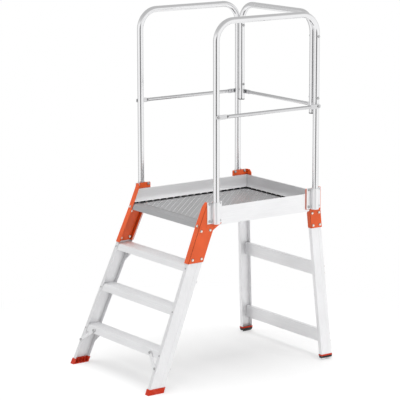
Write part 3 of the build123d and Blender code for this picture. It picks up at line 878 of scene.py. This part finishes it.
@dataclass
class Deck:
    """Chequer plate with raised bars, nosing, toe boards, edge strips and the frame below.

    Waist and ridge are shares of a bar's size: where it starts to narrow, and its flat top.
    """

    edge: float = 0.0006
    pitch: float = 0.0283
    bar_length: float = 0.0240
    bar_width: float = 0.0066
    bar_height: float = 0.0018
    waist: float = 0.5
    ridge: Span = (0.8, 0.45)
    sink: float = 0.0002
    margin: float = 0.006

    def build(self) -> None:
        """Build the raised bars, boards and strips and dress every other piece of the deck."""
        self.build_bars()
        dress_node("deck_plate", Palette.deck, self.edge)
        dress_node("deck_nosing", Palette.nosing, self.edge)
        for side in Side:
            ToeBoard("toe_board_" + side.value, Palette.board).build()
            dress_node("deck_member_" + side.value, Palette.board, self.edge)
        ToeBoard("toe_board_rear", Palette.shaded_rear_board).build()
        for place in ("left", "right", "rear"):
            EdgeStrip("edge_strip_" + place).build()
        for place in ("front", "middle", "rear"):
            dress_node("deck_rib_" + place, Palette.bar, self.edge)

    def build_bars(self) -> None:
        """Raised bars along both diagonals, as on tread plate, inside the edge strips."""
        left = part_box("edge_strip_left")[1].x + self.margin
        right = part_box("edge_strip_right")[0].x - self.margin
        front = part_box("deck_nosing")[1].y + self.margin
        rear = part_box("edge_strip_rear")[0].y - self.margin
        middle = Vector(((left + right) / 2, (front + rear) / 2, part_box("deck_plate")[1].z))
        reach = self.bar_length / 2 * math.sqrt(0.5)
        diagonal = Matrix.Rotation(math.pi / 4, 3, "Z")
        count = math.ceil((right - left + rear - front) / self.pitch)
        mesh = bmesh.new()
        for turn, shift in ((math.pi / 4, 0.0), (-math.pi / 4, 0.5)):
            for row in range(-count, count + 1):
                for column in range(-count, count + 1):
                    step = Vector((column + shift, row + shift, 0)) * self.pitch
                    place = middle + diagonal @ step
                    inside_x = left + reach < place.x < right - reach
                    inside_y = front + reach < place.y < rear - reach
                    if inside_x and inside_y:
                        self.add_bar(mesh, place, turn)
        add_piece("deck_bars", mesh, Palette.bars)

    def add_bar(self, mesh: BMesh, centre: Vector, turn: float) -> None:
        """One lens-shaped bar with a flat ridge, its foot a little below the plate's top.

        Args:
            mesh: where the bar goes.
            centre: its middle, on the plate.
            turn: angle of its length from X.
        """
        along = Vector((math.cos(turn), math.sin(turn), 0))
        across = UP.cross(along)
        half, wide = self.bar_length / 2, self.bar_width / 2
        waist = half * self.waist
        outline = [(-half, 0), (-waist, -wide), (waist, -wide), (half, 0), (waist, wide), (-waist, wide)]
        rings = []
        for height, (long, broad) in ((-self.sink, (1.0, 1.0)), (self.bar_height, self.ridge)):
            level = centre + UP * height
            rings.append([level + along * (u * long) + across * (v * broad) for u, v in outline])
        join_rings(mesh, rings)


@dataclass
class Stairs:
    """Stringers, treads and the braces under the treads."""

    edge: float = 0.0007

    def build(self) -> None:
        """Dress the pieces of the stairs."""
        for side in Side:
            dress_node("stringer_" + side.value, Palette.stair, self.edge)
            for brace in ("brace_front", "brace_rear_lower", "brace_rear_upper"):
                dress_node(f"{brace}_{side.value}", Palette.bar, self.edge)
        for place in ("lower", "middle", "upper"):
            dress_node("tread_" + place, Palette.tread, self.edge)


@dataclass
class RearSupport:
    """Rear legs and the crossbars between them."""

    edge: float = 0.0007

    def build(self) -> None:
        """Dress the legs and bars."""
        for side in Side:
            dress_node("rear_leg_" + side.value, Palette.leg, self.edge)
        for place in ("lower", "upper"):
            dress_node("crossbar_" + place, Palette.bar, self.edge)


@dataclass
class Brackets:
    """Painted corner brackets, folded from sheet, and the channels inside the stringer ends.

    Fold turn and seam span are in degrees.
    """

    edge: float = 0.0009
    fold_radius: float = 0.0065
    fold_profile: float = 0.5
    fold_steps: int = 6
    fold_least: float = 0.03
    fold_turn: float = 50.0
    flange_least: float = 0.008
    seam_depth: float = 0.0028
    seam_slope: float = 0.0005
    seam_span: Span = (15.0, 45.0)

    def build(self) -> None:
        """Build the brackets with round folds and dress the channels."""
        for side in Side:
            self.fold("front_bracket_" + side.value)
            self.fold("rear_bracket_" + side.value)
            dress_node("joint_channel_" + side.value, Palette.paint, self.edge)

    def fold(self, node: str) -> None:
        """Build a bracket with round folds and its seam, instead of its CAD node.

        Args:
            node: the CAD node, whose folds are sharp.
        """
        mesh = cad_mesh(node)
        rounded = bmesh.ops.bevel(
            mesh,
            geom=[edge for edge in mesh.edges if self.is_fold(edge)],
            offset=self.fold_radius,
            segments=self.fold_steps,
            profile=self.fold_profile,
            affect="EDGES",
            clamp_overlap=True,
        )
        bmesh.ops.inset_region(
            mesh,
            faces=[face for face in rounded["faces"] if self.in_seam(face)],
            thickness=self.seam_slope,
            depth=-self.seam_depth,
            use_boundary=True,
            use_even_offset=True,
        )
        add_piece(node + "_folded", mesh, Palette.paint, node, self.edge)

    def is_fold(self, edge: BMEdge) -> bool:
        """Tell an upright fold between two broad faces from the edges of the sheet's rim.

        Args:
            edge: an edge of the bracket.

        Returns:
            True for a fold.
        """
        rise = abs(edge.verts[1].co.z - edge.verts[0].co.z)
        if len(edge.link_faces) != 2 or rise < self.fold_least:
            return False
        widths = [face.calc_area() / edge.calc_length() for face in edge.link_faces]
        turn = edge.calc_face_angle_signed(0.0)
        return min(widths) > self.flange_least and turn > math.radians(self.fold_turn)

    def in_seam(self, face: BMFace) -> bool:
        """Tell the faces of a front fold that lie next to the web, where the seam runs."""
        turned = math.degrees(math.atan2(-face.normal.y, abs(face.normal.x)))
        return self.seam_span[0] < turned < self.seam_span[1]


@dataclass
class RubberFoot:
    """Foot under a rear leg, rounded all round its sole."""

    node: str
    corner: float = 0.005
    corner_most: float = 0.9
    corner_steps: int = 4
    sole_inset: float = 0.016
    sole_rise: float = 0.020
    sole_steps: int = 7

    def build(self) -> None:
        """The rounded foot, instead of its CAD node."""
        low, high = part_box(self.node)
        centre, half = (low + high) / 2, (high - low) / 2
        levels = []
        for cos, sin in quarter(self.sole_steps):
            levels.append((low.z + self.sole_rise * (1 - cos), self.sole_inset * (1 - sin)))
        levels.append((high.z, 0.0))
        rings = []
        for height, inset in levels:
            outline = self.outline(half.x - inset, half.y - inset)
            rings.append((height, [Vector((centre.x + x, centre.y + y, height)) for x, y in outline]))
        add_skin(self.node, "rounded", rings, Palette.rubber)

    def outline(self, half_x: float, half_y: float) -> list[Span]:
        """Rectangle with round corners.

        Args:
            half_x: half of its width.
            half_y: half of its depth.

        Returns:
            Points round it.
        """
        radius = min(self.corner, half_x * self.corner_most)
        points = []
        for place, (sign_x, sign_y) in enumerate(((1, 1), (-1, 1), (-1, -1), (1, -1))):
            for step in range(self.corner_steps + 1):
                angle = QUARTER * (place + step / self.corner_steps)
                x = sign_x * (half_x - radius) + radius * math.cos(angle)
                y = sign_y * (half_y - radius) + radius * math.sin(angle)
                points.append((x, y))
        return points


@dataclass
class Feet:
    """Shoes under the stringers, rubber feet and rings under the rear legs."""

    edge: float = 0.001

    def build(self) -> None:
        """Dress shoes and rings and build the rounded feet."""
        for side in Side:
            dress_node("front_shoe_" + side.value, Palette.shoe, self.edge)
            dress_node("foot_ring_" + side.value, Palette.shoe, self.edge)
            RubberFoot("rear_foot_" + side.value).build()


@dataclass
class Seat:
    """Place of one head, nut, spacer or rivet as the CAD node has it."""

    base: Vector
    axis: Vector
    height: float
    radius: float
    corners: int

    def add_form(
        self, mesh: BMesh, profile: Sequence[tuple[float, Sequence[float]]], turn: float = 0.0
    ) -> None:
        """Add a closed form round the axis.

        Args:
            mesh: where the form goes.
            profile: height and the radii round the axis for each ring.
            turn: angle of the first radius.
        """
        side = self.axis.orthogonal().normalized()
        other = self.axis.cross(side)
        rings = [ring(self.base + self.axis * height, side, other, radii, turn) for height, radii in profile]
        join_rings(mesh, rings)


@dataclass
class Fasteners:
    """Bolts with washers, nuts with bolt ends, spacers and rivets.

    Chamfer and rivet are shares of height and radius, the cone shares of a head's width and of the cut.
    """

    groups: tuple[str, ...] = (
        "front_bracket_bolts",
        "rear_bracket_bolts",
        "tread_rivets",
        "brace_bolts",
        "crossbar_bolts",
        "clamp_bolts",
        "guard_bolts",
    )
    # These groups take the darker zinc, whose colour is painted shade, and heads without a dome.
    dull_shaded_groups: tuple[str, ...] = ("clamp_bolts", "guard_bolts", "tread_rivets", "brace_bolts")
    sides: int = 24
    head_corners: int = 6
    washer_height: float = 0.0012
    washer_radius: float = 0.0077
    bolt_radius: float = 0.004
    nut_height: float = 0.0055
    head_rise: float = 0.0025
    spacer_height: float = 0.004
    turn_step: float = 0.7
    chamfer: float = 0.35
    cone: Triple = (0.95, 1.02, 0.45)
    dome_steps: int = 5
    rivet: tuple[Span, ...] = ((0.0, 1.0), (0.35, 1.0), (0.75, 0.8), (1.0, 0.5), (1.0, 0.3), (0.7, 0.22))

    def build(self) -> None:
        """Build each group instead of its CAD node."""
        others = self.surfaces()
        for group in self.groups:
            mesh = bmesh.new()
            dull_shaded = group in self.dull_shaded_groups
            for index, seat in enumerate(self.seats(group, others)):
                self.add_fastener(mesh, seat, index * self.turn_step, 0.0 if dull_shaded else self.head_rise)
            add_piece(group + "_detail", mesh, Palette.dull_shaded_zinc if dull_shaded else Palette.zinc, group)

    def surfaces(self) -> BVHTree:
        """Gather the faces of every CAD node that isn't a group of fasteners.

        Returns:
            A tree to search them.
        """
        mesh = bmesh.new()
        for name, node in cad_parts.items():
            if name not in self.groups:
                mesh.from_mesh(node.data)
        tree = BVHTree.FromBMesh(mesh)
        mesh.free()
        return tree

    def seats(self, group: str, others: BVHTree) -> list[Seat]:
        """Read the place of every head in a CAD group.

        Args:
            group: CAD node with one solid for each head.
            others: surfaces that the heads sit on.

        Returns:
            One seat for each solid, in the order of their places to a tenth of a millimetre.
        """
        mesh = cad_mesh(group)
        left, found = set(mesh.verts), []
        while left:
            solid = grown = {left.pop()}
            while grown:
                grown = {edge.other_vert(point) for point in grown for edge in point.link_edges} - solid
                solid = solid | grown
            left -= solid
            found.append(self.seat([point for point in mesh.verts if point in solid], others))
        mesh.free()
        return sorted(found, key=lambda seat: tuple(round(value, 4) for value in seat.base))

    def seat(self, solid: Sequence[BMVert], others: BVHTree) -> Seat:
        """Read base, axis and size of one flat-ended solid.

        Args:
            solid: its points.
            others: surfaces that it may sit on.

        Returns:
            The seat, with its base on the nearest surface.
        """
        cap = max((face for point in solid for face in point.link_faces), key=BMFace.calc_area)
        axis = cap.normal.normalized()
        centre = sum((point.co for point in solid), Vector()) / len(solid)
        spokes = [point.co - centre for point in solid]
        heights = [spoke.dot(axis) for spoke in spokes]
        half = (max(heights) - min(heights)) / 2
        radius = max((spoke - axis * height).length for spoke, height in zip(spokes, heights))
        ends = [centre - axis * half, centre + axis * half]
        gaps = [others.find_nearest(end)[3] for end in ends]
        if gaps[1] < gaps[0]:
            axis = -axis
            ends.reverse()
        return Seat(ends[0], axis, 2 * half, radius, len(cap.verts))

    def add_fastener(self, mesh: BMesh, seat: Seat, turn: float, rise: float) -> None:
        """Choose the form by the CAD solid: rivets have many corners, nuts are tall, spacers are low.

        Args:
            mesh: where the fastener goes.
            seat: its place.
            turn: angle of a head round its axis.
            rise: height of the dome over a head.
        """
        if seat.corners > self.head_corners:
            self.add_round(mesh, seat, self.rivet)
        elif seat.height < self.spacer_height:
            self.add_disc(mesh, seat)
        else:
            radius = self.washer_radius if rise else seat.radius
            self.add_disc(mesh, replace(seat, height=self.washer_height, radius=radius))
            is_nut = seat.height > self.nut_height
            self.add_hexagon(mesh, seat, turn, 0.0 if is_nut else rise)
            if is_nut:
                top, radius = seat.base + seat.axis * seat.height, self.bolt_radius
                self.add_disc(mesh, replace(seat, base=top, height=radius / 2, radius=radius))

    def add_round(self, mesh: BMesh, seat: Seat, profile: Sequence[Span]) -> None:
        """Add a round form, by a profile in shares of the seat's height and radius."""
        rings = [(part * seat.height, [wide * seat.radius] * self.sides) for part, wide in profile]
        seat.add_form(mesh, rings)

    def add_disc(self, mesh: BMesh, seat: Seat) -> None:
        """Add a round disc with a chamfered upper edge."""
        rim = 1.0 - self.chamfer * seat.height / seat.radius
        self.add_round(mesh, seat, ((0.0, 1.0), (1.0 - self.chamfer, 1.0), (1.0, rim)))

    def add_hexagon(self, mesh: BMesh, seat: Seat, turn: float, rise: float) -> None:
        """Add a six-sided head over the washer, its corners cut by a cone.

        Args:
            mesh: where the head goes.
            seat: its place.
            turn: angle round its axis.
            rise: height of the dome over the head.
        """
        flat = seat.radius * math.cos(HALF_SIXTH)
        top, belt = flat * self.cone[0], flat * self.cone[1]
        radii = []
        for index in range(self.sides):
            angle = (2 * math.pi * index / self.sides) % (2 * HALF_SIXTH) - HALF_SIXTH
            radii.append(flat / math.cos(angle))
        cut = (seat.radius - top) * math.tan(HALF_SIXTH)
        middle = [min(radius, belt) for radius in radii]
        upper = [min(radius, top) for radius in radii]
        profile = [(self.washer_height, radii), (seat.height - cut, radii)]
        profile += [(seat.height - cut * self.cone[2], middle), (seat.height, upper)]
        for cos, sin in quarter(self.dome_steps)[1:-1] if rise else ():
            profile.append((seat.height + rise * sin, [top * cos] * self.sides))
        seat.add_form(mesh, profile, turn)


@dataclass(frozen=True)
class Card:
    """Grey card that stands round the studio and shows as a soft dark band in polished metal.

    Turn and lift are degrees from the camera's level line of sight; core and rim are the angles, seen from
    the object, to which the card is full and at which it has faded out.
    """

    name: str
    turn: float
    lift: float
    distance: float
    core: float
    rim: float
    level: float


@dataclass(frozen=True)
class Lamp:
    """Square soft lamp with a side length and a power in watts, which faces a target."""

    name: str
    place: Triple
    target: Triple
    size: float
    power: float


def view_direction(azimuth: float, elevation: float) -> Vector:
    """Unit vector of a view from an azimuth and an elevation, in degrees."""
    turn, lift = math.radians(azimuth), math.radians(elevation)
    return Vector((-math.sin(turn) * math.cos(lift), math.cos(turn) * math.cos(lift), -math.sin(lift)))


@dataclass
class Studio:
    """Pale floor, white surroundings, grey cards, soft lamps and the camera.

    The floor fades to white light over a span of distances, from the least share on; the light that it
    throws back has the bounce colour.
    """

    azimuth: float = 53.52
    elevation: float = 11.445
    aim_turn: float = 1.0171
    aim_lift: float = 0.0914
    roll: float = -0.104
    distance: float = 11.407
    lens: float = 180.53
    sensor: float = 36.0
    view_depth: float = 100.0
    target_depth: float = 0.4385
    floor_size: float = 3.0
    floor_parts: int = 8
    floor_tones: tuple[Triple, Triple] = (grey(0.96, 0.0), grey(0.98, 0.0))
    floor_cloud: float = 3.0
    fade_least: float = 0.42
    fade_span: Span = (0.8, 1.8)
    bounce: Triple = grey(0.65, 0.0)
    centre: Triple = (0.0, 0.44, 1.0)
    cards: tuple[Card, ...] = (
        Card("back_card", 0.0, 0.0, 9.5, 26.0, 72.0, 0.75),
        Card("left_card", 36.0, 0.0, 9.0, 26.0, 60.0, 0.58),
        Card("ceiling_card", 0.0, -90.0, 5.0, 30.0, 72.0, 0.56),
        Card("camera_card", 180.0, 0.0, 9.0, 10.0, 26.0, 0.1),
    )
    card_sides: int = 48
    lamps: tuple[Lamp, ...] = (
        Lamp("overhead", (0.0, 0.1, 5.2), (0.0, 0.0, 0.0), 4.0, 175.0),
        Lamp("key", (5.4, 1.6, 2.2), (0.0, 0.0, 0.9), 3.0, 55.0),
    )

    def build(self) -> None:
        """Set the stage."""
        self.add_floor()
        self.add_surround()
        for card in self.cards:
            self.add_card(card)
        for lamp in self.lamps:
            self.add_lamp(lamp)
        self.add_camera()
        bpy.context.scene.view_settings.view_transform = "Standard"

    def add_floor(self) -> None:
        """Floor that shows a soft shadow near the object and fades to white away from it."""
        mesh = bmesh.new()
        parts = self.floor_parts
        bmesh.ops.create_grid(mesh, x_segments=parts, y_segments=parts, size=self.floor_size)
        material = bpy.data.materials.new("floor")
        graph = Graph(material)
        cloud = graph.noise(graph.place(), self.floor_cloud, detail=2.0)
        matt = graph.matt(graph.blend(cloud, *self.floor_tones))
        fade = self.fade_least + (1.0 - self.fade_least) * graph.away().ramp(*self.fade_span)
        near = graph.mix_light(fade, matt, graph.glow(1.0))
        graph.show(graph.mix_light(graph.seen(), graph.matt(self.bounce), near))
        floor = add_object("floor", mesh, material)

    def add_surround(self) -> None:
        """White backdrop all round, the same for the camera, for metal and for the light."""
        world = bpy.data.worlds.new("studio")
        bpy.context.scene.world = world
        graph = Graph(world)
        graph.show(graph.glow(1.0, "ShaderNodeBackground"), "ShaderNodeOutputWorld")

    def add_card(self, card: Card) -> None:
        """Round card that faces the object, out of the camera's sight.

        Args:
            card: its place, size and level.
        """
        rim, core = (card.distance * math.tan(math.radians(angle)) for angle in (card.rim, card.core))
        mesh = bmesh.new()
        bmesh.ops.create_circle(mesh, cap_ends=True, segments=self.card_sides, radius=rim)
        material = bpy.data.materials.new(card.name)
        graph = Graph(material)
        full = graph.glow(card.level)
        clear = graph.value("ShaderNodeBsdfTransparent")
        graph.show(graph.mix_light(graph.away().ramp(core, rim), full, clear))
        holder = add_object(card.name, mesh, material)
        towards = view_direction(self.azimuth + card.turn, card.lift)
        holder.location = Vector(self.centre) + towards * card.distance
        holder.rotation_euler = towards.to_track_quat("Z", "Y").to_euler()
        holder.visible_camera = False

    def add_lamp(self, lamp: Lamp) -> None:
        """Square soft lamp, which polished metal doesn't show.

        Args:
            lamp: its place, aim, size and power.
        """
        light = bpy.data.lights.new(lamp.name, "AREA")
        light.size = lamp.size
        light.energy = lamp.power
        holder = bpy.data.objects.new(lamp.name, light)
        holder.location = lamp.place
        towards = Vector(lamp.target) - Vector(lamp.place)
        holder.rotation_euler = towards.to_track_quat("-Z", "Y").to_euler()
        holder.visible_glossy = False
        bpy.context.scene.collection.objects.link(holder)

    def add_camera(self) -> None:
        """Camera of the photo, with a long lens."""
        low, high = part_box("deck_plate")
        target = Vector((0.0, low.y + self.target_depth, high.z))
        camera = bpy.data.cameras.new("camera")
        camera.lens = self.lens
        camera.sensor_width = self.sensor
        camera.clip_end = self.view_depth
        holder = bpy.data.objects.new("camera", camera)
        holder.location = target - view_direction(self.azimuth, self.elevation) * self.distance
        aim = view_direction(self.azimuth + self.aim_turn, self.elevation - self.aim_lift)
        turn = aim.to_track_quat("-Z", "Y").to_matrix().to_4x4()
        roll = Matrix.Rotation(math.radians(self.roll), 4, "Z")
        holder.rotation_euler = (turn @ roll).to_euler()
        bpy.context.scene.collection.objects.link(holder)
        bpy.context.scene.camera = holder


def main() -> None:
    """Build the object and its stage in order."""
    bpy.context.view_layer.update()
    Stairs().build()
    RearSupport().build()
    Brackets().build()
    Feet().build()
    Deck().build()
    GuardRail().build()
    Fasteners().build()
    Studio().build()


if __name__ == "__main__":
    main()
